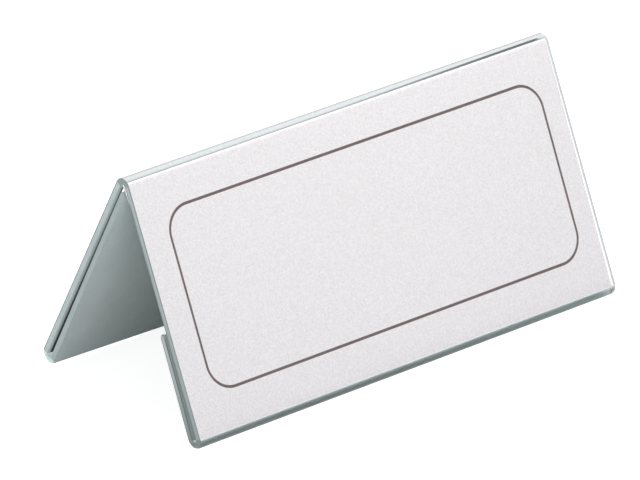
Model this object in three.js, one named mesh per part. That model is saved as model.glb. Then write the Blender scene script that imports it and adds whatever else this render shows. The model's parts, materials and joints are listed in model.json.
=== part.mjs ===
// Roof-shaped table name sign: one strip of clear rigid film, heat-bent into a ridge and two folded
// feet, with a creased card held in the pockets of its two legs.
//
// Millimetres. X runs along the sign, the front faces -Y and +Z is up. The origin is on the table,
// under the middle of the ridge.
//
// The strip runs: front flap, front foot, front window, ridge bend, rear window, rear foot, rear flap.
// Its bends are living hinges, so each panel and each bend is a solid of its own.
import * as THREE from 'three';

const degrees = THREE.MathUtils.degToRad;

// Driving dimensions
const SIGN_WIDTH = 100; // along the ridge
const LEG_LENGTH = 52; // down a leg's face, from the line where the two faces would meet to the foot's end
const HALF_ANGLE = degrees(26); // lean of each leg from upright
const FILM = 1.2; // thickness of the clear film
const CARD = 0.3; // thickness of the card
const CARD_CLEARANCE = 0.2; // room between the card and the film
const CARD_INSET = 0.3; // how far the card stops short of the film at each open end
const CREASE_RADIUS = 0.2; // inside radius of the card's crease
const CREASE_SLIT = degrees(20); // turn left open on each side of the crease's middle
const FOOT_EASE = 0.3; // extra width of the pocket inside a foot's bend
const FOOT_FLAT = 0.9; // width of the flat that each foot stands on
const FLAP_EDGE = 0.3; // thickness left at a flap's top edge, which is bevelled on the side away from the card
const FRONT_FLAP_HEIGHT = 19.3; // up the inside of the front leg
const REAR_FLAP_ROOM = 0.8; // from the rear flap's top edge to the front half of the card
const SEAM = 0.3; // gap left between a panel and the bend next to it
const ARC_STEPS = 14; // straight steps in each round stretch

// The ridge bend and the card's crease share one centre, so that the legs flex about it.
const CREASE_OUTER_RADIUS = CREASE_RADIUS + CARD;
const RIDGE_INNER_RADIUS = CREASE_OUTER_RADIUS + CARD_CLEARANCE;
const RIDGE_OUTER_RADIUS = RIDGE_INNER_RADIUS + FILM;

// The pocket between a window and its flap narrows from the foot up to the flap's mouth.
const POCKET_MOUTH = CARD + 2 * CARD_CLEARANCE;
const FOOT_INNER_RADIUS = (POCKET_MOUTH + FOOT_EASE) / 2;
const FOOT_OUTER_RADIUS = FOOT_INNER_RADIUS + FILM;

// A leg's section is drawn in its own plane: u runs down the leg's face from the line where the two
// outer faces would meet, and v runs inwards from that face.
const RIDGE_TANGENT_U = RIDGE_OUTER_RADIUS / Math.tan(HALF_ANGLE);
const FOOT_CENTRE_U = LEG_LENGTH - FOOT_OUTER_RADIUS;
const PANEL_END_U = FOOT_CENTRE_U - SEAM;
const CARD_FACE_V = FILM + CARD_CLEARANCE;
const CARD_BACK_V = CARD_FACE_V + CARD;

// The flat under each foot is square to the table, half its width to each side of straight down.
const FLAT_HALF_TURN = Math.asin(FOOT_FLAT / 2 / FOOT_OUTER_RADIUS);
const FACE_LINE_HEIGHT =
  FOOT_CENTRE_U * Math.cos(HALF_ANGLE) +
  FOOT_OUTER_RADIUS * (Math.sin(HALF_ANGLE) + Math.cos(FLAT_HALF_TURN));
const RIDGE_CENTRE_HEIGHT = FACE_LINE_HEIGHT - RIDGE_OUTER_RADIUS / Math.sin(HALF_ANGLE);

function clearFilm() {
  return new THREE.MeshStandardMaterial({
    color: 0xccd6d5,
    roughness: 0.08,
    metalness: 0,
    transparent: true,
    opacity: 0.4,
  });
}

function whiteCard() {
  return new THREE.MeshStandardMaterial({ color: 0xf2eff1, roughness: 0.85, metalness: 0 });
}

// A solid with the given outline, run along the sign and centred on it.
function runAlong(name, outline, length, material) {
  const geometry = new THREE.ExtrudeGeometry(outline, {
    depth: length,
    bevelEnabled: false,
    curveSegments: ARC_STEPS,
  });
  const mesh = new THREE.Mesh(geometry, material);
  mesh.name = name;
  mesh.position.z = -length / 2;
  return mesh;
}

function polygon(corners) {
  return new THREE.Shape(corners.map(([u, v]) => new THREE.Vector2(u, v)));
}

// Flat panel that covers the card, from the ridge bend down to the foot.
function windowOutline() {
  const top = RIDGE_TANGENT_U + SEAM;
  return polygon([
    [top, 0],
    [PANEL_END_U, 0],
    [PANEL_END_U, FILM],
    [top, FILM],
  ]);
}

// Half ring that turns the film back up behind the card, with the flat that it stands on.
function footOutline() {
  const outline = new THREE.Shape();
  const quarter = Math.PI / 2;
  const flatStart = HALF_ANGLE - FLAT_HALF_TURN;
  const flatEnd = HALF_ANGLE + FLAT_HALF_TURN;
  outline.absarc(FOOT_CENTRE_U, FOOT_OUTER_RADIUS, FOOT_OUTER_RADIUS, -quarter, flatStart, false);
  outline.absarc(FOOT_CENTRE_U, FOOT_OUTER_RADIUS, FOOT_OUTER_RADIUS, flatEnd, quarter, false);
  outline.absarc(FOOT_CENTRE_U, FOOT_OUTER_RADIUS, FOOT_INNER_RADIUS, quarter, -quarter, true);
  outline.closePath();
  return outline;
}

// Inner flap that stands on the foot's bend and leans towards the card at its bevelled top edge.
function flapOutline(topU) {
  const footFace = FILM + 2 * FOOT_INNER_RADIUS;
  const topFace = FILM + POCKET_MOUTH;
  const bevel = FILM - FLAP_EDGE;
  return polygon([
    [PANEL_END_U, footFace],
    [PANEL_END_U, footFace + FILM],
    [topU + bevel, topFace + FILM],
    [topU, topFace + FLAP_EDGE],
    [topU, topFace],
  ]);
}

// Half of the card: a flat strip from the foot's pocket up to its part of the crease.
function cardOutline() {
  const cornerDrop = FOOT_INNER_RADIUS - CARD_CLEARANCE;
  const pocketFloor = Math.sqrt(FOOT_INNER_RADIUS ** 2 - cornerDrop ** 2);
  const lowerEdge = FOOT_CENTRE_U + pocketFloor - CARD_CLEARANCE;
  const start = -Math.PI / 2;
  const end = HALF_ANGLE - Math.PI + CREASE_SLIT;
  const outline = new THREE.Shape();
  outline.moveTo(lowerEdge, CARD_FACE_V);
  outline.absarc(RIDGE_TANGENT_U, RIDGE_OUTER_RADIUS, CREASE_OUTER_RADIUS, start, end, true);
  outline.absarc(RIDGE_TANGENT_U, RIDGE_OUTER_RADIUS, CREASE_RADIUS, end, start, false);
  outline.lineTo(lowerEdge, CARD_BACK_V);
  outline.closePath();
  return outline;
}

// Bend over the top, drawn in the upright section (Y, Z) of the whole sign.
function ridgeOutline() {
  const outline = new THREE.Shape();
  const rearEnd = HALF_ANGLE;
  const frontEnd = Math.PI - HALF_ANGLE;
  outline.absarc(0, RIDGE_CENTRE_HEIGHT, RIDGE_OUTER_RADIUS, rearEnd, frontEnd, false);
  outline.absarc(0, RIDGE_CENTRE_HEIGHT, RIDGE_INNER_RADIUS, frontEnd, rearEnd, true);
  outline.closePath();
  return outline;
}

// Upright section plane across the sign: what is drawn in it as (x, y) lies at (Y, Z) and runs along X.
function uprightSection() {
  const plane = new THREE.Group();
  const axes = new THREE.Matrix4().makeBasis(
    new THREE.Vector3(0, 1, 0),
    new THREE.Vector3(0, 0, 1),
    new THREE.Vector3(1, 0, 0),
  );
  plane.setRotationFromMatrix(axes);
  return plane;
}

// One leg with its half of the card, leaning as the front leg does.
function leg(side, flapTop) {
  const cardWidth = SIGN_WIDTH - 2 * CARD_INSET;
  const slope = new THREE.Group();
  slope.position.y = FACE_LINE_HEIGHT;
  slope.rotation.z = -(Math.PI / 2 + HALF_ANGLE);
  slope.add(runAlong(`${side}_window`, windowOutline(), SIGN_WIDTH, clearFilm()));
  slope.add(runAlong(`${side}_foot`, footOutline(), SIGN_WIDTH, clearFilm()));
  slope.add(runAlong(`${side}_flap`, flapOutline(flapTop), SIGN_WIDTH, clearFilm()));
  slope.add(runAlong(`card_${side}`, cardOutline(), cardWidth, whiteCard()));
  return uprightSection().add(slope);
}

// The front flap is short, and the rear flap reaches up under the ridge, short of the card's front half.
const frontFlapTop = PANEL_END_U - FRONT_FLAP_HEIGHT;
const fullAngle = 2 * HALF_ANGLE;
const rearFlapBack = FILM + POCKET_MOUTH + FLAP_EDGE;
const rearFlapTop =
  (CARD_BACK_V + REAR_FLAP_ROOM + rearFlapBack * Math.cos(fullAngle)) / Math.sin(fullAngle);

const sign = new THREE.Group();
const ridge = runAlong('ridge_bend', ridgeOutline(), SIGN_WIDTH, clearFilm());
sign.add(uprightSection().add(ridge));
sign.add(leg('front', frontFlapTop));

const turnedRound = new THREE.Group();
turnedRound.rotation.z = Math.PI;
turnedRound.add(leg('rear', rearFlapTop));
sign.add(turnedRound);

export default sign;
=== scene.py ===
# Roof-shaped table name sign: a bent strip of clear film that holds a creased white card.
# Metres, in the part's own frame: X along the ridge, the front faces -Y, +Z up, the table at Z = 0.
import json
import math

import bpy
from mathutils import Matrix, Vector


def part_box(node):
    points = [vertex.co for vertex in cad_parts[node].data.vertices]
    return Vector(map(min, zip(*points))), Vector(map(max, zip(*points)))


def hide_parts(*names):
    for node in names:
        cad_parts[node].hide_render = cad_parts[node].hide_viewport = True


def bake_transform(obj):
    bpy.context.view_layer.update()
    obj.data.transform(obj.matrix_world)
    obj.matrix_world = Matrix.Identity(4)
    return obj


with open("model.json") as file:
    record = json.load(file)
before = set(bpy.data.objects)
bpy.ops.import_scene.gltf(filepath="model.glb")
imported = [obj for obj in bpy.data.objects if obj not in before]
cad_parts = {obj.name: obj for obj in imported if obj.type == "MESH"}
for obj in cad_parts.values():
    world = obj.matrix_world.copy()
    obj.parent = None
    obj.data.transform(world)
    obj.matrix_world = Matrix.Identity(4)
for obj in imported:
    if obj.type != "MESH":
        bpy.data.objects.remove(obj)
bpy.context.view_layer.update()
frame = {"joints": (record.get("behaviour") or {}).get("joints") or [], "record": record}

# Clear holder
# One strip of stiff clear film, heat-bent over a ridge and folded back on itself at both feet.
# It is sheared square at the two ends, and the rear end of the strip stands inside as the rear flap.
SIGN_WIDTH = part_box("ridge_bend")[1].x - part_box("ridge_bend")[0].x
HALF_WIDTH = SIGN_WIDTH / 2
FILM = 0.0012
SKIN = FILM / 4  # a face that lies this near to a surface of the film belongs to it
LEAN = math.radians(26)
RIDGE_RADIUS = 0.0019  # on the outside of the bend, as for the feet
FOOT_RADIUS = 0.0017
FOOT_FLAT = 0.0009
FLAP_EDGE = 0.0003  # thickness left at a flap's rounded top edge
FLAP_EDGE_STEPS = 6
BEND_RUN_OUT = 0.0005  # short stretch of flat next to a bend
FLAP_RUN_OUT = 0.002  # the same below a flap's top edge
BEND_STEPS_PER_TURN = 72
# Where the painted shade round a foot's bend begins, and where it is full
FOOT_DULL_SHADING_STARTS = 9  # degrees round a foot's bend
FOOT_DULL_SHADING_FULL = 12
# Half the width of the painted light band on the ridge's top, as a turn about the ridge
RIDGE_BAND_HALF_TURN = math.radians(34.5)
CUT_EDGE_ROUNDING = 0.00012
CUT_EDGE_BORDER = 0.0002
FRONT_END_ROUNDING = 0.0005  # at the two ends of the front foot
REAR_END_ROUNDING = 0.0008  # the same for the rear foot
FOOT_ROUNDING_FULL = 75  # degrees round a foot's bend
REAR_CORNER_LIFT = 0.0009
REAR_CORNER_RUN = 0.028
# Widths of the painted shade at the rear pocket's ends, and of the rim at the very end of each pocket
REAR_POCKET_SHADE_TOP = 0.0011
REAR_POCKET_SHADE_FOOT = 0.0016
POCKET_END_RIM = 0.0004
POCKET_END_RIM_FADE = 0.0005

# How much of a face's normal lies along a direction, for a face that counts as looking that way.
END_FACING = 0.3
TOP_FACING = 0.2
SQUARE_ON = 0.99
FLAP_FACING = 0.97
FOLD_FACING = 0.6

# Painted light and shade on the cut film along the strip, from 0 to 1, at its outer border, its core and
# its inner border: dark borders and lighter cores for the way the clear edges take the light, and lighter
# where an end faces the lamps, as at the rear foot and high on the front leg
PAINTED_EDGE_SHADING = {
    "rear_flap": (0.47, 0.52, 0.47),
    "rear_foot": (0.9, 1.0, 0.9),
    "rear_window": (0.04, 0.68, 0.64),
    "ridge": (0.25, 0.36, 0.25),
    "front_window": (0.25, 0.58, 0.12),
    "front_window_foot": (0.25, 0.4, 0.12),
    "front_foot": (0.22, 0.25, 0.22),
    "front_flap": (0.08, 0.62, 0.08),
    "front_flap_foot": (0.08, 0.28, 0.08),
}
# Painted light along the top edge of each flap, lifting it out of the shade there
FLAP_TOP_PAINTED_LIGHT = 0.95

joints = {j["name"]: j for j in frame["joints"]}
mounts = {m["name"]: m for m in frame["record"]["mounts"]}
ridge_centre = Vector(joints["roof_flex"]["pos_m"])
foot_centre_height = math.sqrt(FOOT_RADIUS**2 - (FOOT_FLAT / 2) ** 2)
front_foot_centre = Vector(mounts["front_foot_rest"]["pos_m"]) + Vector((0, 0, foot_centre_height))
rear_foot_centre = Vector(mounts["rear_foot_rest"]["pos_m"]) + Vector((0, 0, foot_centre_height))
front_out = Vector((0, -math.cos(LEAN), math.sin(LEAN)))
rear_out = Vector((0, math.cos(LEAN), math.sin(LEAN)))
front_down = Vector((0, -math.sin(LEAN), -math.cos(LEAN)))
rear_down = Vector((0, math.sin(LEAN), -math.cos(LEAN)))
film_rise = FILM * math.sin(LEAN)
flap_bevel = FILM - FLAP_EDGE


def select_only(kind, items, wanted):
    """Stays in edit mode with only those faces, edges or vertices selected that are wanted."""
    bpy.ops.object.mode_set(mode="EDIT")
    bpy.ops.mesh.select_mode(type=kind)
    bpy.ops.mesh.select_all(action="DESELECT")
    bpy.ops.object.mode_set(mode="OBJECT")
    for item in items:
        item.select = wanted(item)
    bpy.ops.object.mode_set(mode="EDIT")


def select_faces(piece, wanted):
    select_only("FACE", piece.data.polygons, wanted)


def start_strip(name, width, start):
    """A new object in edit mode that holds one straight edge along X, ready to be drawn out."""
    bpy.ops.object.select_all(action="DESELECT")
    bpy.ops.mesh.primitive_plane_add(size=width)
    strip = bpy.context.object
    strip.name = name
    select_only("VERT", strip.data.vertices, lambda vertex: vertex.co.y > 0)
    bpy.ops.mesh.delete(type="VERT")
    bpy.ops.mesh.select_all(action="SELECT")
    bpy.ops.transform.translate(value=Vector(start) + Vector((0, width / 2, 0)))
    return strip


def draw_on(move):
    bpy.ops.mesh.extrude_edges_move(TRANSFORM_OT_translate={"value": move})


def draw_panel(start, end, first_ease, last_ease):
    """A flat stretch, with a short piece at each end where the surface eases into what comes next."""
    along = (end - start).normalized()
    draw_on(along * first_ease)
    draw_on(end - start - along * (first_ease + last_ease))
    draw_on(along * last_ease)


def bend_round(centre, turn):
    """Turns the drawn edge about an axis along X, the way that the sheet runs from back to front."""
    steps = round(BEND_STEPS_PER_TURN * turn / (2 * math.pi))
    bpy.ops.mesh.spin(steps=steps, angle=turn, center=centre, axis=(-1, 0, 0))


def face_outwards(strip, outward):
    """Merges the drawn strip and turns its faces so that the largest one looks the given way."""
    MERGE_DISTANCE = 1e-6
    bpy.ops.mesh.select_all(action="SELECT")
    bpy.ops.mesh.remove_doubles(threshold=MERGE_DISTANCE)
    bpy.ops.mesh.normals_make_consistent(inside=False)
    bpy.ops.object.mode_set(mode="OBJECT")
    largest = max(strip.data.polygons, key=lambda face: face.area)
    if largest.normal.dot(outward(largest.center)) < 0:
        bpy.ops.object.mode_set(mode="EDIT")
        bpy.ops.mesh.flip_normals()
        bpy.ops.object.mode_set(mode="OBJECT")


def give_thickness(strip, thickness):
    """Adds the sheet's thickness on its inner side, which takes the second material, if there is one."""
    wall = strip.modifiers.new("wall", "SOLIDIFY")
    wall.thickness = thickness
    wall.offset = -1
    wall.use_even_offset = True
    wall.material_offset = 1
    wall.material_offset_rim = 0
    bpy.ops.object.modifier_apply(modifier=wall.name)


def round_top_edge(strip, line):
    """Rounds off the long edge at the top of a flap, on the side away from the card."""
    near = FLAP_EDGE / 10
    on_line = {v.index for v in strip.data.vertices if (v.co - line).yz.length < near}
    select_only("EDGE", strip.data.edges, lambda edge: on_line.issuperset(edge.vertices))
    bpy.ops.mesh.bevel(offset=flap_bevel, segments=FLAP_EDGE_STEPS, affect="EDGES")
    bpy.ops.object.mode_set(mode="OBJECT")


def break_edges(strip, rounding, segments):
    """Takes the sharpness off every cut edge, and shades the bends smooth and the flats flat."""
    SHARP_FROM = math.radians(50)
    SMOOTH_UP_TO = math.radians(20)
    edges = strip.modifiers.new("cut_edges", "BEVEL")
    edges.width = rounding
    edges.segments = segments
    edges.limit_method = "ANGLE"
    edges.angle_limit = SHARP_FROM
    bpy.ops.object.modifier_apply(modifier=edges.name)
    bpy.ops.object.shade_smooth_by_angle(angle=SMOOTH_UP_TO)


def stand_flat(strip):
    """Presses what reaches below the table up to it, which leaves the flat that the fold stands on."""
    for vertex in strip.data.vertices:
        vertex.co.z = max(vertex.co.z, 0.0)


def ramp(value, low, high):
    """Goes evenly from 0 to 1 while the value goes from low to high, and stays there beyond."""
    return min(max((value - low) / (high - low), 0.0), 1.0)


def foot_at(at):
    """The centre of the nearer foot's bend, with that leg's outward and downward directions."""
    if at.y < 0:
        return front_foot_centre, front_out, front_down
    return rear_foot_centre, rear_out, rear_down


def foot_turn(at):
    """How far round a foot's bend a place lies, in degrees from the nearer of the two flats it joins."""
    centre, out, down = foot_at(at)
    from_centre = at - centre
    return math.degrees(math.atan2(from_centre.dot(down), abs(from_centre.dot(out))))


def bend_dulling_and_shading(at):
    """A mask round the feet's bends, 0 on the flats and rising to 1 a little way round each bend. It sets
    the film's roughness there, the painted shade of the clear film and the painted light on the rear flap's
    fold.
    """
    return ramp(foot_turn(at), FOOT_DULL_SHADING_STARTS, FOOT_DULL_SHADING_FULL)


def ridge_turn(at):
    """Where a place lies across the painted light band on the ridge's top: -1 at its rear edge, 1 at its
    front edge.
    """
    from_ridge = at - ridge_centre
    return math.atan2(-from_ridge.y, from_ridge.z) / RIDGE_BAND_HALF_TURN


def stretch_at(at):
    """The name of the stretch of the strip that a place lies in, with its own name low on the front leg."""
    side = "front" if at.y < 0 else "rear"
    foot_centre, out, down = foot_at(at)
    past_foot = (at - foot_centre).dot(down)
    from_ridge = at - ridge_centre
    if past_foot > 0:
        return side + "_foot"
    if from_ridge.dot(down) < 0:
        return "ridge"
    in_window = from_ridge.dot(out) > RIDGE_RADIUS - FILM - FLAP_EDGE
    if not in_window and (side == "rear" or at.z > ridge_centre.z / 2):
        return "rear_flap"
    name = side + ("_window" if in_window else "_flap")
    near_foot = side == "front" and past_foot > -2 * BEND_RUN_OUT
    return name + "_foot" if near_foot else name


def painted_edge_shading(at, in_core, flap_top):
    """The painted light and shade of a cut edge: along the top of a flap, or in the core or the border of a
    cut end.
    """
    off_end = abs(at.x) < HALF_WIDTH - CUT_EDGE_ROUNDING / 2
    if off_end and (at - flap_top).yz.length < FLAP_RUN_OUT:
        return FLAP_TOP_PAINTED_LIGHT
    outer_tone, core_tone, inner_tone = PAINTED_EDGE_SHADING[stretch_at(at)]
    if in_core:
        return core_tone
    out = foot_at(at)[1]
    inner = (at - ridge_centre).dot(out) < RIDGE_RADIUS - FILM / 2
    return inner_tone if inner else outer_tone


def wear(strip, *materials):
    """Gives the strip its materials, the first of them all over."""
    for material in materials:
        strip.data.materials.append(material)
    for face in strip.data.polygons:
        face.material_index = 0


def assign(strip, material, wanted):
    """Gives one of the strip's materials to the faces for which wanted(face) is true."""
    select_faces(strip, wanted)
    strip.active_material_index = strip.data.materials.find(material.name)
    bpy.ops.object.material_slot_assign()
    bpy.ops.object.mode_set(mode="OBJECT")


def finish_cut_edges(strip, flap_top, up):
    """Gives the flap's top edge and the two ends their own material, with a border round each end."""
    def on_flap_top(face):
        return face.normal.dot(up) > TOP_FACING and (face.center - flap_top).yz.length < FLAP_RUN_OUT

    assign(strip, cut_edge, on_flap_top)
    assign(strip, cut_edge, lambda face: abs(face.normal.x) > END_FACING)
    select_faces(strip, lambda face: abs(face.normal.x) > SQUARE_ON)
    bpy.ops.mesh.inset(thickness=CUT_EDGE_BORDER, depth=0)
    bpy.ops.object.mode_set(mode="OBJECT")
    core = {index for face in strip.data.polygons if face.select for index in face.vertices}
    # Painted light and shade for each vertex of the cut edges, which their material reads
    layer = strip.data.attributes.new("painted_edge_shading", "FLOAT", "POINT")
    for vertex, item in zip(strip.data.vertices, layer.data):
        item.value = painted_edge_shading(vertex.co, vertex.index in core, flap_top)


def round_foot_ends(strip):
    """Rounds the two ends of each fold, where the sheared corners were rubbed smooth."""
    for vertex in strip.data.vertices:
        centre = foot_at(vertex.co)[0]
        depth = max(FOOT_RADIUS - (vertex.co - centre).yz.length, 0.0)
        at_end = abs(vertex.co.x) > HALF_WIDTH - 2 * CUT_EDGE_ROUNDING
        rounding = FRONT_END_ROUNDING if vertex.co.y < 0 else REAR_END_ROUNDING
        if at_end and depth < rounding:
            left = rounding - depth
            drop = rounding - math.sqrt(rounding**2 - left**2)
            drop *= ramp(foot_turn(vertex.co), 0, FOOT_ROUNDING_FULL)
            vertex.co.x -= math.copysign(drop, vertex.co.x)


def cut_across(strip, place):
    """Adds a row of vertices across the whole strip, square to its length."""
    select_faces(strip, lambda face: True)
    bpy.ops.mesh.bisect(plane_co=(place, 0, 0), plane_no=(1, 0, 0))
    bpy.ops.object.mode_set(mode="OBJECT")


def lift_rear_corner(strip):
    """Draws the left end of the rear foot up the leg a little, because it was folded askew there."""
    leg_length = (rear_foot_centre - ridge_centre).dot(rear_down)
    for vertex in strip.data.vertices:
        if vertex.co.y > 0:
            to_left = ramp(-vertex.co.x, HALF_WIDTH - REAR_CORNER_RUN, HALF_WIDTH)
            to_foot = ramp((vertex.co - ridge_centre).dot(rear_down), 0, leg_length)
            vertex.co -= REAR_CORNER_LIFT * to_left * to_foot * rear_down


def keep_values(strip, name, value_at):
    """Stores a number for each vertex, worked out from its place, for the materials to read."""
    layer = strip.data.attributes.new(name, "FLOAT", "POINT")
    for vertex, item in zip(strip.data.vertices, layer.data):
        item.value = value_at(vertex.co)


def keep_rest_place(strip):
    """Stores where each vertex lies at rest, so that a pattern stays in place when the sign flexes."""
    layer = strip.data.attributes.new("rest_place", "FLOAT_VECTOR", "POINT")
    for vertex, item in zip(strip.data.vertices, layer.data):
        item.vector = vertex.co


def new_material(name):
    material = bpy.data.materials.new(name)
    material.use_nodes = True
    material.node_tree.nodes.clear()
    return material, material.node_tree


def add(tree, kind, **values):
    """A node with its plain inputs set by name, such as add(tree, "ShaderNodeTexNoise", Scale=40)."""
    node = tree.nodes.new(kind)
    for name, value in values.items():
        node.inputs[name.replace("_", " ")].default_value = value
    return node


def calc(tree, operation, *values):
    """One Math node, whose inputs are sockets or plain numbers."""
    node = tree.nodes.new("ShaderNodeMath")
    node.operation = operation
    for socket, value in zip(node.inputs, values):
        if isinstance(value, (int, float)):
            socket.default_value = value
        else:
            tree.links.new(value, socket)
    return node.outputs[0]


def between(tree, share, first, second):
    """A number that goes from first to second as share goes from 0 to 1."""
    return calc(tree, "MULTIPLY_ADD", share, second - first, first)


def rise(tree, value, low, high):
    """Goes smoothly from 0 to 1 while the value goes from low to high. Low may be the higher one."""
    node = add(tree, "ShaderNodeMapRange", From_Min=low, From_Max=high)
    node.interpolation_type = "SMOOTHSTEP"
    tree.links.new(value, node.inputs["Value"])
    return node.outputs["Result"]


def colour_between(tree, share, first, second):
    """A colour that goes from first to second as share goes from 0 to 1."""
    node = tree.nodes.new("ShaderNodeMix")
    node.data_type = "RGBA"
    tree.links.new(share, node.inputs["Factor"])
    for socket, value in ((node.inputs[6], first), (node.inputs[7], second)):
        if isinstance(value, tuple):
            socket.default_value = (*value, 1)
        else:
            tree.links.new(value, socket)
    return node.outputs[2]


def stored(tree, name):
    node = tree.nodes.new("ShaderNodeAttribute")
    node.attribute_name = name
    return node


def rest_axis(tree, axis):
    """One coordinate of the place that a point of the surface has at rest."""
    split = add(tree, "ShaderNodeSeparateXYZ")
    tree.links.new(stored(tree, "rest_place").outputs["Vector"], split.inputs["Vector"])
    return split.outputs[axis]


def make_patches_group():
    """Soft uneven patches, such as smudges on the film and mottle in the card. Size is in metres."""
    group = bpy.data.node_groups.new("soft_patches", "ShaderNodeTree")
    group.interface.new_socket("Place", in_out="INPUT", socket_type="NodeSocketVector")
    group.interface.new_socket("Size", in_out="INPUT", socket_type="NodeSocketFloat")
    group.interface.new_socket("Contrast", in_out="INPUT", socket_type="NodeSocketFloat")
    group.interface.new_socket("Mask", in_out="OUTPUT", socket_type="NodeSocketFloat")
    entry = group.nodes.new("NodeGroupInput")
    leave = group.nodes.new("NodeGroupOutput")
    noise = add(group, "ShaderNodeTexNoise", Detail=4.0, Roughness=0.6)
    group.links.new(entry.outputs["Place"], noise.inputs["Vector"])
    group.links.new(calc(group, "DIVIDE", 1.0, entry.outputs["Size"]), noise.inputs["Scale"])
    centred = calc(group, "SUBTRACT", noise.outputs["Fac"], 0.5)
    spread = calc(group, "MULTIPLY_ADD", centred, entry.outputs["Contrast"], 0.5)
    clamped = calc(group, "MINIMUM", calc(group, "MAXIMUM", spread, 0.0), 1.0)
    group.links.new(clamped, leave.inputs["Mask"])
    return group


soft_patches = make_patches_group()


def patches(tree, size, contrast=2.0):
    node = tree.nodes.new("ShaderNodeGroup")
    node.node_tree = soft_patches
    node.inputs["Size"].default_value = size
    node.inputs["Contrast"].default_value = contrast
    tree.links.new(stored(tree, "rest_place").outputs["Vector"], node.inputs["Place"])
    return node.outputs["Mask"]


def bumped(tree, height, distance):
    node = add(tree, "ShaderNodeBump", Strength=1.0, Distance=distance)
    tree.links.new(height, node.inputs["Height"])
    return node.outputs["Normal"]


def finish_opaque(tree, surface):
    output = add(tree, "ShaderNodeOutputMaterial")
    tree.links.new(surface.outputs["BSDF"], output.inputs["Surface"])


def finish_film(tree, surface):
    """Shows the surface to the eye, and lets the light for what is behind it pass, a little tinted."""
    TINT = (0.97, 0.98, 0.98, 1)
    link = tree.links.new
    output = add(tree, "ShaderNodeOutputMaterial")
    lit_through = add(tree, "ShaderNodeBsdfTransparent", Color=TINT)
    path = add(tree, "ShaderNodeLightPath")
    for_shadow = add(tree, "ShaderNodeMixShader")
    for_diffuse = add(tree, "ShaderNodeMixShader")
    link(path.outputs["Is Shadow Ray"], for_shadow.inputs["Fac"])
    link(surface.outputs["BSDF"], for_shadow.inputs[1])
    link(lit_through.outputs["BSDF"], for_shadow.inputs[2])
    link(path.outputs["Is Diffuse Ray"], for_diffuse.inputs["Fac"])
    link(for_shadow.outputs["Shader"], for_diffuse.inputs[1])
    link(lit_through.outputs["BSDF"], for_diffuse.inputs[2])
    link(for_diffuse.outputs["Shader"], output.inputs["Surface"])


def clear_film_material():
    """Clear film with faint smudges, rougher round each foot's bend and painted grey-green there for the
    shade seen through the bend. Both are weaker at the right end, which is painted lighter.
    """
    CLEAR = (0.975, 0.985, 0.985)
    # Painted shade: the grey-green of the feet's bends, for the shade seen through them
    FOLDED_SHADE = (0.35, 0.43, 0.43)
    FOLDED_ROUGHNESS = 0.4
    RIGHT_END_RUN = 0.004
    # Painted light: only this share of the bend's painted shade is left at the right end
    RIGHT_END_SHADE_SHARE = 0.5
    material, tree = new_material("clear_film")
    link = tree.links.new
    glass = add(tree, "ShaderNodeBsdfPrincipled", IOR=1.54, Transmission_Weight=1.0)
    right_end = rise(tree, rest_axis(tree, "X"), HALF_WIDTH - RIGHT_END_RUN, HALF_WIDTH)
    share = between(tree, right_end, 1.0, RIGHT_END_SHADE_SHARE)
    dulling_and_shading = calc(tree, "MULTIPLY", stored(tree, "bend_dulling_and_shading").outputs["Fac"], share)
    link(colour_between(tree, dulling_and_shading, CLEAR, FOLDED_SHADE), glass.inputs["Base Color"])
    smudges = between(tree, patches(tree, size=0.012), 0.015, 0.05)
    link(calc(tree, "MULTIPLY_ADD", dulling_and_shading, FOLDED_ROUGHNESS, smudges), glass.inputs["Roughness"])
    waves = patches(tree, size=0.03, contrast=1.0)
    link(bumped(tree, waves, distance=0.00004), glass.inputs["Normal"])
    finish_film(tree, glass)
    return material


def cut_edge_material():
    """Sheared film, frosted by the cut, and coloured by the painted light and shade stored for each edge.
    Towards the right that fades to one even, lighter painted tone.
    """
    DARK = (0.03, 0.045, 0.045)
    LIGHT = (0.74, 0.86, 0.87)
    # Painted light: the even, lighter tone that the right end takes
    RIGHT_END_PAINTED_LIGHT = (0.62, 0.65, 0.66)
    material, tree = new_material("cut_film_edge")
    link = tree.links.new
    frosted = add(tree, "ShaderNodeBsdfPrincipled", IOR=1.5)
    unevenness = between(tree, patches(tree, size=0.004), 0.9, 1.1)
    tone = calc(tree, "MULTIPLY", stored(tree, "painted_edge_shading").outputs["Fac"], unevenness)
    colour = colour_between(tree, tone, DARK, LIGHT)
    at_right = rise(tree, rest_axis(tree, "X"), 0, HALF_WIDTH)
    link(colour_between(tree, at_right, colour, RIGHT_END_PAINTED_LIGHT), frosted.inputs["Base Color"])
    link(between(tree, patches(tree, size=0.0015), 0.3, 0.5), frosted.inputs["Roughness"])
    link(bumped(tree, patches(tree, size=0.0006), distance=0.00002), frosted.inputs["Normal"])
    finish_film(tree, frosted)
    return material


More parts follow.
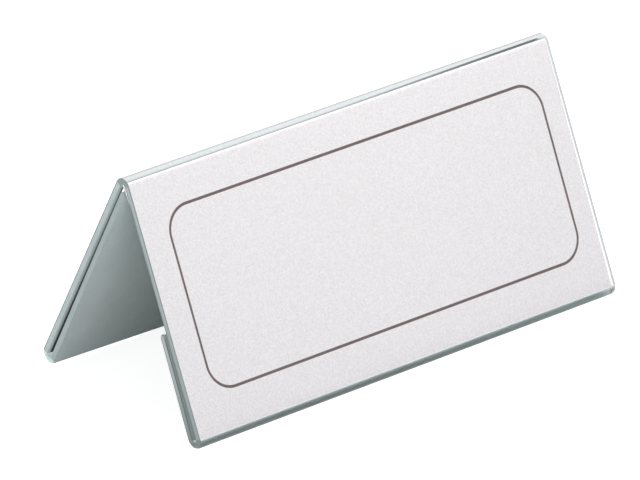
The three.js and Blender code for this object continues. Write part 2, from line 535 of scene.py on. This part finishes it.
def painted_ridge_light_material():
    """A pale band painted along the ridge's top for the light that the bend reflects, darker on its rear
    half with painted shade, and with a grey line of painted shade along its front edge.
    Towards the right that line widens and darkens into the painted shadow of the gap between the card and
    the ridge."""
    # Painted shade on the rear half, painted reflection on the band, a painted line of shade and the
    # painted shadow of the gap
    REAR_SHADE_PAINT = (0.35, 0.38, 0.4)
    REFLECTION_PAINT = (0.54, 0.565, 0.575)
    LINE = (0.42, 0.43, 0.45)
    GAP_SHADOW = (0.09, 0.095, 0.095)
    # Turns across the band, as ridge_turn gives them
    REAR_FADE = (-0.2, 0.2)
    LINE_FADE = (0.72, 0.9)
    GAP_FADE = (-0.05, 0.1)
    GAP_START_LEFT = 0.95
    GAP_START_RIGHT = 0.6
    # Places along the ridge
    GAP_GROWS = (-0.02, 0.042)
    GAP_ENDS = (0.0487, 0.0472)
    material, tree = new_material("painted_ridge_light_and_shade")
    link = tree.links.new
    painted_band = add(tree, "ShaderNodeBsdfPrincipled", IOR=1.5)
    turn = stored(tree, "ridge_turn").outputs["Fac"]
    along = rest_axis(tree, "X")
    unevenness = between(tree, patches(tree, size=0.006), 0.7, 1.0)
    line = calc(tree, "MULTIPLY", rise(tree, turn, *LINE_FADE), unevenness)
    towards_right = rise(tree, along, *GAP_GROWS)
    gap_start = between(tree, towards_right, GAP_START_LEFT, GAP_START_RIGHT)
    past_start = rise(tree, calc(tree, "SUBTRACT", turn, gap_start), *GAP_FADE)
    before_end = rise(tree, along, *GAP_ENDS)
    gap_shadow = calc(tree, "MULTIPLY", calc(tree, "MULTIPLY", towards_right, past_start), before_end)
    colour = colour_between(tree, rise(tree, turn, *REAR_FADE), REAR_SHADE_PAINT, REFLECTION_PAINT)
    colour = colour_between(tree, line, colour, LINE)
    link(colour_between(tree, gap_shadow, colour, GAP_SHADOW), painted_band.inputs["Base Color"])
    link(between(tree, patches(tree, size=0.003), 0.2, 0.35), painted_band.inputs["Roughness"])
    link(bumped(tree, patches(tree, size=0.0015), distance=0.00003), painted_band.inputs["Normal"])
    finish_film(tree, painted_band)
    return material


def dulled_flap_material():
    """Film gone dull on the side of the rear flap that looks into the tunnel, painted paler round its fold
    for the light that comes through the fold.
    """
    DULL = (0.84, 0.93, 0.93)
    # Painted light: the paler colour round the fold
    FOLD_PAINTED_LIGHT = (0.92, 0.94, 0.95)
    SMUDGE = (0.4, 0.46, 0.46)
    SMUDGE_SHARE = 0.12
    material, tree = new_material("dulled_flap")
    link = tree.links.new
    dull = add(tree, "ShaderNodeBsdfPrincipled", Specular_IOR_Level=0.1)
    dulling_and_shading = stored(tree, "bend_dulling_and_shading").outputs["Fac"]
    colour = colour_between(tree, dulling_and_shading, DULL, FOLD_PAINTED_LIGHT)
    smudges = calc(tree, "MULTIPLY", patches(tree, size=0.004), SMUDGE_SHARE)
    link(colour_between(tree, smudges, colour, SMUDGE), dull.inputs["Base Color"])
    link(between(tree, patches(tree, size=0.003), 0.6, 0.8), dull.inputs["Roughness"])
    link(bumped(tree, patches(tree, size=0.0008), distance=0.00002), dull.inputs["Normal"])
    finish_opaque(tree, dull)
    return material


def fold_highlight_material():
    """A painted highlight along the line where a foot's bend begins, greyer in patches."""
    # Painted highlight
    HIGHLIGHT_PAINT = (0.88, 0.875, 0.885)
    GREYER = (0.7, 0.72, 0.725)
    GREYER_SHARE = 0.5
    material, tree = new_material("painted_fold_highlight")
    line = add(tree, "ShaderNodeBsdfPrincipled", IOR=1.5, Roughness=0.4)
    uneven = calc(tree, "MULTIPLY", patches(tree, size=0.002), GREYER_SHARE)
    tree.links.new(colour_between(tree, uneven, HIGHLIGHT_PAINT, GREYER), line.inputs["Base Color"])
    finish_opaque(tree, line)
    return material


def pocket_shade_material(name, at_foot, at_top, at_end):
    """Painted shade at the ends of a pocket's face, for the dark that its slot shows, which changes up the
    leg and has a rim at the very end.
    """
    FOOT_HEIGHT = 0.002
    material, tree = new_material(name)
    dull = add(tree, "ShaderNodeBsdfPrincipled", Roughness=0.7)
    up = rise(tree, rest_axis(tree, "Z"), FOOT_HEIGHT, ridge_centre.z)
    uneven = calc(tree, "MULTIPLY", up, between(tree, patches(tree, size=0.002), 0.85, 1.15))
    colour = colour_between(tree, uneven, at_foot, at_top)
    from_middle = calc(tree, "ABSOLUTE", rest_axis(tree, "X"))
    rim_start = HALF_WIDTH - POCKET_END_RIM
    rim = rise(tree, from_middle, rim_start - POCKET_END_RIM_FADE, rim_start)
    tree.links.new(colour_between(tree, rim, colour, at_end), dull.inputs["Base Color"])
    finish_opaque(tree, dull)
    return material


def shade_pocket_ends(strip, material, in_pocket, top, foot, down):
    """Paints shade on a margin at each end of a pocket's face, from one width at the top to another at the
    foot.
    """
    (top_place, top_width), (foot_place, foot_width) = top, foot
    taper = math.atan2(foot_width - top_width, (foot_place - top_place).length)
    for end in (-1, 1):
        select_faces(strip, in_pocket)
        start = top_place + Vector((end * (HALF_WIDTH - top_width), 0, 0))
        across = Vector((math.cos(taper), 0, 0)) + end * math.sin(taper) * down
        bpy.ops.mesh.bisect(plane_co=start, plane_no=across)
        bpy.ops.object.mode_set(mode="OBJECT")

        def in_margin(face):
            return in_pocket(face) and end * (face.center - start).dot(across) > 0

        assign(strip, material, in_margin)


rear_flap_low, rear_flap_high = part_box("rear_flap")
bevel_reach = flap_bevel * math.sin(LEAN)
rear_flap_top = Vector((0, rear_flap_low.y - bevel_reach, rear_flap_high.z - film_rise))
rear_flap_foot = rear_foot_centre - FOOT_RADIUS * rear_out
rear_face_top = ridge_centre + RIDGE_RADIUS * rear_out
rear_face_foot = rear_foot_centre + FOOT_RADIUS * rear_out
front_face_top = ridge_centre + RIDGE_RADIUS * front_out
front_face_foot = front_foot_centre + FOOT_RADIUS * front_out

holder = start_strip("clear_holder", SIGN_WIDTH, rear_flap_top)
draw_panel(rear_flap_top, rear_flap_foot, FLAP_RUN_OUT, BEND_RUN_OUT)
bend_round(rear_foot_centre, math.pi)
draw_panel(rear_face_foot, rear_face_top, BEND_RUN_OUT, BEND_RUN_OUT)
bend_round(ridge_centre, math.pi - 2 * LEAN)
draw_panel(front_face_top, front_face_foot, BEND_RUN_OUT, BEND_RUN_OUT)
bend_round(front_foot_centre, math.pi / 2 + LEAN)
face_outwards(holder, lambda at: front_out if at.y < 0 else rear_out)
give_thickness(holder, FILM)
round_top_edge(holder, rear_flap_top)
break_edges(holder, CUT_EDGE_ROUNDING, 2)
stand_flat(holder)

film = clear_film_material()
cut_edge = cut_edge_material()
# Painted shade at the rear pocket's ends, darkest at the foot
rear_pocket_shade = pocket_shade_material(
    "painted_shade_rear_pocket",
    at_foot=(0.005, 0.01, 0.01), at_top=(0.12, 0.15, 0.15), at_end=(0.7, 0.75, 0.75),
)
painted_ridge_light = painted_ridge_light_material()
dulled_flap = dulled_flap_material()
fold_highlight = fold_highlight_material()
wear(holder, film, cut_edge, painted_ridge_light, rear_pocket_shade, dulled_flap, fold_highlight)


def on_ridge_top(face):
    outer = (face.center - ridge_centre).yz.length > RIDGE_RADIUS - SKIN
    return outer and abs(face.normal.x) < END_FACING and abs(ridge_turn(face.center)) < 1


def in_rear_pocket(face):
    depth = (face.center - ridge_centre).dot(rear_out)
    return face.normal.dot(rear_out) < -SQUARE_ON and abs(depth - RIDGE_RADIUS + FILM) < SKIN


def in_tunnel(face):
    """The side of the rear flap and of its fold that looks towards the front leg."""
    from_foot = face.center - rear_foot_centre
    facing = FOLD_FACING if from_foot.dot(rear_down) > 0 else FLAP_FACING
    looks_in = face.normal.dot(rear_out) < -facing and abs(face.normal.x) < END_FACING
    return looks_in and -FOOT_RADIUS - SKIN < from_foot.dot(rear_out) < 0


def on_fold_line(face):
    centre, out, down = foot_at(face.center)
    from_foot = face.center - centre
    turned = math.degrees(math.atan2(from_foot.dot(down), from_foot.dot(out)))
    outer = from_foot.yz.length > FOOT_RADIUS - SKIN and abs(face.normal.x) < END_FACING
    return outer and 0 < turned < FOOT_DULL_SHADING_STARTS


assign(holder, dulled_flap, in_tunnel)
# Painted highlight along the start of each foot's bend
assign(holder, fold_highlight, on_fold_line)
finish_cut_edges(holder, rear_flap_top, -rear_down)
round_foot_ends(holder)
# The painted light band on the ridge's top
assign(holder, painted_ridge_light, on_ridge_top)
shade_pocket_ends(
    holder, rear_pocket_shade, in_rear_pocket,
    (rear_face_top, REAR_POCKET_SHADE_TOP), (rear_face_foot, REAR_POCKET_SHADE_FOOT), rear_down,
)
cut_across(holder, REAR_CORNER_RUN - HALF_WIDTH)
# A mask for the painted shade and light round the feet's bends, and for their roughness
keep_values(holder, "bend_dulling_and_shading", bend_dulling_and_shading)
keep_values(holder, "ridge_turn", ridge_turn)
keep_rest_place(holder)
lift_rear_corner(holder)
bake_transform(holder)
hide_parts("front_window", "front_foot", "ridge_bend", "rear_window", "rear_foot", "rear_flap")

# Front flap
# The front end of the same strip, turned up behind the card from the middle of the front foot.
# It springs back a little when the card is pushed in, and stands free along its top edge.
# Width of the painted shade at the front pocket's ends
FRONT_POCKET_SHADE = 0.0009
front_flap_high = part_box("front_flap")[1]
front_flap_top = Vector((0, front_flap_high.y + bevel_reach, front_flap_high.z - film_rise))
front_flap_foot = front_foot_centre - FOOT_RADIUS * front_out
sole = front_foot_centre + Vector((0, 0, -FOOT_RADIUS))

flap = start_strip("front_flap_film", SIGN_WIDTH, sole)
bend_round(front_foot_centre, math.pi / 2 - LEAN)
draw_panel(front_flap_foot, front_flap_top, BEND_RUN_OUT, FLAP_RUN_OUT)
face_outwards(flap, lambda at: -front_out)
give_thickness(flap, FILM)
round_top_edge(flap, front_flap_top)
break_edges(flap, CUT_EDGE_ROUNDING, 2)
stand_flat(flap)
# Painted shade at the front pocket's ends
front_pocket_shade = pocket_shade_material(
    "painted_shade_front_pocket",
    at_foot=(0.25, 0.285, 0.285), at_top=(0.2, 0.23, 0.23), at_end=(0.2, 0.23, 0.23),
)
wear(flap, film, cut_edge, front_pocket_shade)


def in_front_pocket(face):
    depth = (face.center - front_foot_centre).dot(front_out)
    return face.normal.dot(front_out) > SQUARE_ON and abs(depth + FOOT_RADIUS - FILM) < SKIN


finish_cut_edges(flap, front_flap_top, -front_down)
round_foot_ends(flap)
shade_pocket_ends(
    flap, front_pocket_shade, in_front_pocket,
    (front_flap_top, FRONT_POCKET_SHADE), (front_flap_foot, FRONT_POCKET_SHADE), front_down,
)
keep_values(flap, "bend_dulling_and_shading", bend_dulling_and_shading)
keep_rest_place(flap)
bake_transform(flap)
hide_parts("front_flap")

# Name card
# White card, creased once along its middle and pushed into the two pockets from the end.
# A thin grey rule with round corners is printed on each half, and the inside is blank.
CARD = 0.0003
CREASE_RADIUS = 0.0005
CREASE_LIFT = 0.00012
CARD_DROP = 0.00015
REAR_TRIM = 0.0008
CREASE_RUN = 0.005
LEFT_INSET_BELOW_CREASE = 0.0005
LEFT_INSET_FRONT = 0.0009
LEFT_INSET_REAR = 0.0013
RIGHT_INSET_CREASE = 0.00002
RIGHT_INSET_FOOT = 0.00005
PAPER = (0.945, 0.885, 0.912)
PAPER_SHADED = (0.815, 0.761, 0.784)
# Painted shade: the blank inside of the card is grey-green for the shade inside the tunnel
INSIDE_PAINTED_SHADE = (0.6, 0.63, 0.63)
INSIDE_PAINTED_SHADE_DARKER = (0.53, 0.56, 0.56)
INK = (0.085, 0.036, 0.038)
card_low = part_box("card_front")[0]
card_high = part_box("card_rear")[1]
card_rise = CARD * math.sin(LEAN)
rear_card_foot = Vector((0, card_high.y, card_low.z + card_rise)) - REAR_TRIM * rear_down
front_card_foot = Vector((0, card_low.y, card_low.z + card_rise)) + CARD_DROP * front_down
crease_centre = ridge_centre + Vector((0, 0, CREASE_LIFT))
rear_crease = crease_centre + CREASE_RADIUS * rear_out
front_crease = crease_centre + CREASE_RADIUS * front_out

card = start_strip("name_card", SIGN_WIDTH, rear_card_foot)
draw_panel(rear_card_foot, rear_crease, BEND_RUN_OUT, BEND_RUN_OUT)
bend_round(crease_centre, math.pi - 2 * LEAN)
draw_panel(front_crease, front_card_foot, CREASE_RUN, BEND_RUN_OUT)
face_outwards(card, lambda at: front_out if at.y < 0 else rear_out)

half_crease = CREASE_RADIUS * (math.pi / 2 - LEAN)
flat_length = (front_card_foot - front_crease).length
half_length = flat_length + half_crease


def share_from_crease(at):
    """0 in the middle of the crease, 1 at the front half's lower edge, worked out alike on both halves."""
    below = Vector((0, -abs(at.y), at.z)) - front_crease
    return ramp(below.dot(front_down), -half_crease, flat_length)


def lay_flat(piece):
    """A UV map of the card as it was cut: U across its width, V from the rear edge to the front one."""
    layer = piece.data.uv_layers.new(name="flat_card")
    for loop in piece.data.loops:
        at = piece.data.vertices[loop.vertex_index].co
        side = 1 if at.y < 0 else -1
        layer.data[loop.index].uv = (at.x / SIGN_WIDTH + 0.5, 0.5 + side * share_from_crease(at) / 2)


def trim_sides(piece):
    """The card was cut out of square: level with the film at the right, and too short at the left."""
    for vertex in piece.data.vertices:
        share = share_from_crease(vertex.co)
        if vertex.co.x > 0:
            vertex.co.x -= RIGHT_INSET_CREASE + share * (RIGHT_INSET_FOOT - RIGHT_INSET_CREASE)
        elif vertex.co.y < 0:
            below = share * half_length - half_crease
            vertex.co.x += ramp(below, 0, CREASE_RUN) * LEFT_INSET_BELOW_CREASE
            more = LEFT_INSET_FRONT - LEFT_INSET_BELOW_CREASE
            vertex.co.x += ramp(below, CREASE_RUN, flat_length) * more
        else:
            vertex.co.x += ramp(share * half_length, 0, half_crease) * LEFT_INSET_REAR


def printed_rule(tree):
    """1 on the printed rule and 0 off it, from the distance to a rectangle with round corners."""
    LINE_WIDTH = 0.00053
    SIDE_LINE_WIDTH = 0.00046
    LINE_SOFTNESS = 0.00005
    CORNER_RADIUS = 0.005
    LEFT = -0.04341
    RIGHT = 0.0453
    TOP = 0.00667
    BOTTOM = 0.04038
    flat = add(tree, "ShaderNodeUVMap")
    flat.uv_map = "flat_card"
    split = add(tree, "ShaderNodeSeparateXYZ")
    tree.links.new(flat.outputs["UV"], split.inputs["Vector"])
    across = calc(tree, "MULTIPLY", calc(tree, "SUBTRACT", split.outputs["X"], 0.5), SIGN_WIDTH)
    turned = calc(tree, "ABSOLUTE", calc(tree, "SUBTRACT", split.outputs["Y"], 0.5))
    down = calc(tree, "MULTIPLY", turned, 2 * half_length)
    beyond = []
    for place, low, high in ((across, LEFT, RIGHT), (down, TOP, BOTTOM)):
        off_middle = calc(tree, "ABSOLUTE", calc(tree, "SUBTRACT", place, (low + high) / 2))
        beyond.append(calc(tree, "SUBTRACT", off_middle, (high - low) / 2 - CORNER_RADIUS))
    corner = [calc(tree, "POWER", calc(tree, "MAXIMUM", b, 0.0), 2.0) for b in beyond]
    outside = calc(tree, "SQRT", calc(tree, "ADD", corner[0], corner[1]))
    inside = calc(tree, "MINIMUM", calc(tree, "MAXIMUM", beyond[0], beyond[1]), 0.0)
    off_line = calc(tree, "SUBTRACT", calc(tree, "ADD", outside, inside), CORNER_RADIUS)
    at_side = rise(tree, calc(tree, "SUBTRACT", beyond[0], beyond[1]), -CORNER_RADIUS, CORNER_RADIUS)
    thinner = calc(tree, "MULTIPLY", at_side, (LINE_WIDTH - SIDE_LINE_WIDTH) / 2)
    off_middle = calc(tree, "ADD", calc(tree, "ABSOLUTE", off_line), thinner)
    half_line = LINE_WIDTH / 2
    return rise(tree, off_middle, half_line + LINE_SOFTNESS, half_line - LINE_SOFTNESS)


def card_material(name, paper_colour, shaded_colour, printed):
    """Matte card with a fine mottle, with or without its printed rule."""
    material, tree = new_material(name)
    link = tree.links.new
    paper = add(tree, "ShaderNodeBsdfPrincipled", Roughness=0.85, Specular_IOR_Level=0.25)
    mottle = patches(tree, size=0.00035, contrast=4.0)
    colour = colour_between(tree, mottle, shaded_colour, paper_colour)
    if printed:
        colour = colour_between(tree, printed_rule(tree), colour, INK)
    link(colour, paper.inputs["Base Color"])
    grain = patches(tree, size=0.0004, contrast=1.5)
    link(bumped(tree, grain, distance=0.00003), paper.inputs["Normal"])
    finish_opaque(tree, paper)
    return material


card.data.materials.append(card_material("printed_card", PAPER, PAPER_SHADED, printed=True))
card.data.materials.append(card_material("blank_card", INSIDE_PAINTED_SHADE, INSIDE_PAINTED_SHADE_DARKER, printed=False))
give_thickness(card, CARD)
break_edges(card, CARD / 8, 1)
trim_sides(card)
lay_flat(card)
keep_rest_place(card)
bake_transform(card)
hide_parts("card_front", "card_rear")

# Table and backdrop
# A plain matte white table top that runs out of the picture, just below the sign's feet.
# It takes the sign's shadow, and looks as white as the surroundings where nothing shades it.
FLOOR_SIZE = 6.0
FLOOR_DROP = 0.00003
FLOOR_GREY = (0.45, 0.45, 0.45, 1)
FLOOR_LIFT = 0.86
WHITE = (1, 1, 1, 1)
bpy.ops.object.select_all(action="DESELECT")
bpy.ops.mesh.primitive_plane_add(size=FLOOR_SIZE, location=(0, 0, -FLOOR_DROP))
table_top = bpy.context.object
table_top.name = "table_top"


def seen_directly(tree):
    """1 for what the eye meets, also in or through the film, and 0 for light that falls on things."""
    path = add(tree, "ShaderNodeLightPath")
    straight = calc(tree, "MAXIMUM", path.outputs["Is Camera Ray"], path.outputs["Is Glossy Ray"])
    return calc(tree, "MAXIMUM", straight, path.outputs["Is Transmission Ray"])


def white_table_material():
    material, tree = new_material("white_table")
    link = tree.links.new
    output = add(tree, "ShaderNodeOutputMaterial")
    matte = add(tree, "ShaderNodeBsdfDiffuse", Color=FLOOR_GREY)
    lift = add(tree, "ShaderNodeEmission", Color=WHITE)
    together = add(tree, "ShaderNodeAddShader")
    link(calc(tree, "MULTIPLY", seen_directly(tree), FLOOR_LIFT), lift.inputs["Strength"])
    link(matte.outputs["BSDF"], together.inputs[0])
    link(lift.outputs["Emission"], together.inputs[1])
    link(together.outputs["Shader"], output.inputs["Surface"])
    return material


table_top.data.materials.append(white_table_material())

# Light
# Even, soft studio light from a pale cool room and four square lamps, all aimed at the sign: one low at the
# front left, a stronger one at the left, a small one close above the front and one high up behind.
ROOM_COLOUR = (0.93, 1.0, 1.0, 1)
ROOM_LIGHT = 0.36
LAMP_AIM = Vector((0, 0, 0.02))
world = bpy.data.worlds.new("studio")
bpy.context.scene.world = world
world.use_nodes = True
tree = world.node_tree
tree.nodes.clear()
output = add(tree, "ShaderNodeOutputWorld")
room = add(tree, "ShaderNodeBackground", Color=ROOM_COLOUR, Strength=ROOM_LIGHT)
backdrop = add(tree, "ShaderNodeBackground", Color=WHITE, Strength=1.0)
either = add(tree, "ShaderNodeMixShader")
tree.links.new(seen_directly(tree), either.inputs["Fac"])
tree.links.new(room.outputs["Background"], either.inputs[1])
tree.links.new(backdrop.outputs["Background"], either.inputs[2])
tree.links.new(either.outputs["Shader"], output.inputs["Surface"])


def soft_lamp(name, place, size, power, colour):
    lamp = bpy.data.lights.new(name, "AREA")
    lamp.shape = "SQUARE"
    lamp.size = size
    lamp.energy = power
    lamp.color = colour
    stand = bpy.data.objects.new(name, lamp)
    bpy.context.scene.collection.objects.link(stand)
    stand.location = place
    stand.rotation_euler = (LAMP_AIM - Vector(place)).to_track_quat("-Z", "Y").to_euler()


soft_lamp("front_left_lamp", place=(-0.45, -1.1, 0.15), size=0.5, power=1.6, colour=(1.0, 0.97, 0.98))
soft_lamp("left_lamp", place=(-1.4, -0.15, 0.25), size=0.8, power=7.6, colour=(1.0, 1.0, 1.0))
soft_lamp("overhead_lamp", place=(0.02, -0.13, 0.25), size=0.16, power=0.42, colour=(1.0, 0.97, 0.96))
soft_lamp("rear_lamp", place=(0, 0.5, 0.9), size=0.5, power=7, colour=(1.0, 1.0, 1.0))

# Camera
# A long lens to the front left of the sign and a little above it, tilted slightly to one side.
# It looks past the sign's middle, which therefore lies off the middle of the picture.
AZIMUTH = math.radians(-41.48)
ELEVATION = math.radians(25.92)
ROLL = math.radians(1.356)
DISTANCE = 1.4605
LENS_MM = 453.89
SENSOR_MM = 36
AIM_HEIGHT = 0.022
AIM_LEFT = 0.002559
AIM_DOWN = 0.003532
back = Vector((
    math.sin(AZIMUTH) * math.cos(ELEVATION),
    -math.cos(AZIMUTH) * math.cos(ELEVATION),
    math.sin(ELEVATION),
))
right = Vector((math.cos(AZIMUTH), math.sin(AZIMUTH), 0))
up = back.cross(right)
camera_x = math.cos(ROLL) * right + math.sin(ROLL) * up
camera_y = math.cos(ROLL) * up - math.sin(ROLL) * right
aim = Vector((0, 0, AIM_HEIGHT)) - AIM_LEFT * camera_x - AIM_DOWN * camera_y
camera_data = bpy.data.cameras.new("camera")
camera_data.lens = LENS_MM
camera_data.sensor_width = SENSOR_MM
camera = bpy.data.objects.new("camera", camera_data)
bpy.context.scene.collection.objects.link(camera)
turn = Matrix((camera_x, camera_y, back)).transposed().to_4x4()
camera.matrix_world = Matrix.Translation(aim + DISTANCE * back) @ turn
bpy.context.scene.camera = camera
bpy.context.scene.view_settings.view_transform = "Standard"
